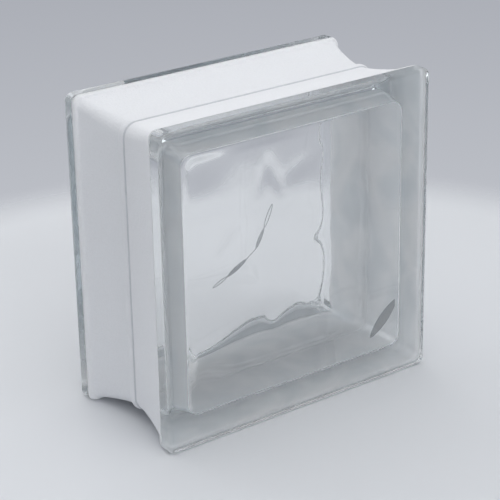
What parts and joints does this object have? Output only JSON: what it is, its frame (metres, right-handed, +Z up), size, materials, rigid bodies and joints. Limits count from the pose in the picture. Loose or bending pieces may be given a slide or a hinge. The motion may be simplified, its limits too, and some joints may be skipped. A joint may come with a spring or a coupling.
{
  "type": "glass block",
  "caption": "Square hollow glass block with clouded panes and a white mortar channel round its edges.",
  "frame": {"origin": "middle of the foot of the block, under the seam", "axes": "+Z up, X along the width, Y through the thickness; the faces look along -Y and +Y"},
  "size_m": [0.19, 0.095, 0.19],
  "materials": {
    "pressed_glass": "fire-polished clear soda-lime glass with a faint grey-green tint",
    "key_coat": "matt white key coat, slightly grainy"
  },
  "bodies": {
    "root": {"front_dish": "pressed_glass", "back_dish": "pressed_glass", "key_coat": "key_coat"}
  },
  "joints": []
}
